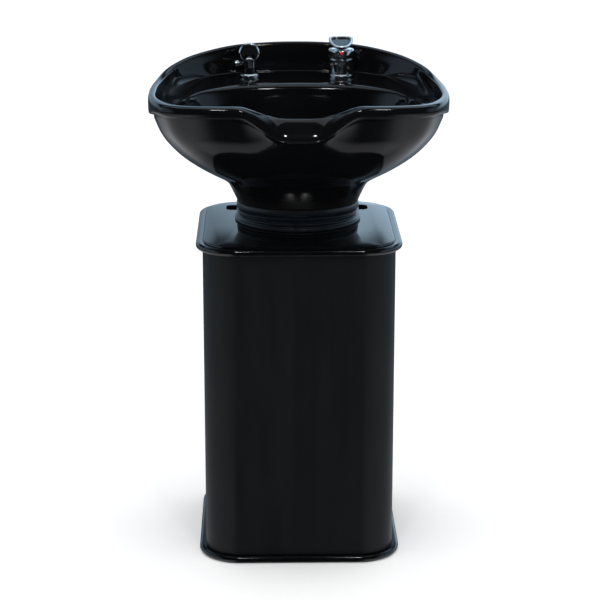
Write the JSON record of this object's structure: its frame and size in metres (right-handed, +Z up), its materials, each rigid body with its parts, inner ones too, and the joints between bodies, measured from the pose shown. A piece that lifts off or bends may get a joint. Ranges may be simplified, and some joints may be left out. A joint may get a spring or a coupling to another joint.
{
  "type": "shampoo backwash unit",
  "caption": "Free-standing hair-washing unit: a tilting black shampoo bowl with neck rest, lever mixer and hand spray on a pedestal cabinet.",
  "frame": {"origin": "on the floor, at the middle of the unit's plan", "axes": "+Z up; -Y towards the client, where the neck rest is; +X to the right seen from the client's side"},
  "size_m": [0.6006, 0.5156, 1.0232],
  "materials": {
    "bowl_gloss_black": "high gloss",
    "plate_gloss_black": "gloss",
    "cabinet_satin_black": "satin",
    "bellows_rubber": "satin",
    "seal_rubber": "matt",
    "chrome_trim": "polished",
    "index_red": "gloss",
    "frame_paint": "satin powder coat",
    "zinc_fasteners": "zinc plated",
    "brass_fittings": "satin",
    "braided_hose": "woven steel braid",
    "waste_hose": "corrugated grey",
    "trap_plastic": "satin white"
  },
  "bodies": {
    "cabinet": {"base_plate": "plate_gloss_black", "cabinet_shell": "cabinet_satin_black", "rear_panel": "cabinet_satin_black", "rear_screw_left_low": "zinc_fasteners", "rear_screw_left_mid": "zinc_fasteners", "rear_screw_left_high": "zinc_fasteners", "rear_screw_right_low": "zinc_fasteners", "rear_screw_right_mid": "zinc_fasteners", "rear_screw_right_high": "zinc_fasteners", "top_plate": "plate_gloss_black", "post_front_left": "frame_paint", "post_front_right": "frame_paint", "post_back_left": "frame_paint", "post_back_right": "frame_paint", "frame_plate": "frame_paint", "cross_rail": "frame_paint", "connector_plate": "zinc_fasteners", "connector_hot": "brass_fittings", "connector_cold": "brass_fittings", "waste_trap": "trap_plastic", "tilt_bracket_left": "frame_paint", "pivot_bolt_left": "zinc_fasteners", "pivot_washer_left": "seal_rubber", "pivot_nut_left": "zinc_fasteners", "tilt_bracket_right": "frame_paint", "pivot_bolt_right": "zinc_fasteners", "pivot_washer_right": "seal_rubber", "pivot_nut_right": "zinc_fasteners", "bellows": "bellows_rubber", "drain_hose": "waste_hose", "hot_hose": "braided_hose", "cold_hose": "braided_hose"},
    "bowl": {"bowl": "bowl_gloss_black", "tilt_yoke": "frame_paint", "drain_gasket": "seal_rubber", "drain_nut": "brass_fittings", "drain_flange": "chrome_trim", "mixer_base_ring": "chrome_trim", "mixer_body": "chrome_trim", "mixer_washer": "seal_rubber", "mixer_nut": "brass_fittings", "spray_flange": "chrome_trim", "spray_guide": "bowl_gloss_black", "spray_washer": "seal_rubber", "spray_nut": "brass_fittings", "spray_hose": "braided_hose"},
    "handset": {"handset_stem": "chrome_trim", "handset_head": "bowl_gloss_black", "handset_ring": "chrome_trim", "handset_face": "cabinet_satin_black"},
    "flow_button": {"flow_button": "chrome_trim"},
    "strainer": {"drain_strainer": "chrome_trim"},
    "turret": {"mixer_turret": "chrome_trim", "mixer_index": "index_red"},
    "lever": {"mixer_lever": "chrome_trim"}
  },
  "joints": [
    {"name": "bowl_tilt", "type": "hinge", "parent": "cabinet", "child": "bowl", "pos_m": [0, 0.047, 0.7], "axis": [1, 0, 0], "range_deg": [-4, 12], "deforming": ["bellows", "drain_hose", "hot_hose", "cold_hose"]},
    {"name": "handset_lift", "type": "slide", "parent": "bowl", "child": "handset", "axis": [0, 0, 1], "range_m": [0, 0.3], "deforming": ["spray_hose"]},
    {"name": "flow_button_press", "type": "slide", "parent": "handset", "child": "flow_button", "axis": [1, 0, 0], "range_m": [0, 0.0025], "stiffness_N_per_m": 400},
    {"name": "strainer_lift", "type": "slide", "parent": "bowl", "child": "strainer", "axis": [0, 0, 1], "range_m": [0, 0.05]},
    {"name": "temperature_turn", "type": "hinge", "parent": "bowl", "child": "turret", "pos_m": [0.095, 0.197, 0.99], "axis": [0, 0, 1], "range_deg": [-45, 45]},
    {"name": "flow_lever_lift", "type": "hinge", "parent": "turret", "child": "lever", "pos_m": [0.095, 0.178, 0.99], "axis": [1, 0, 0], "range_deg": [0, 25]}
  ]
}
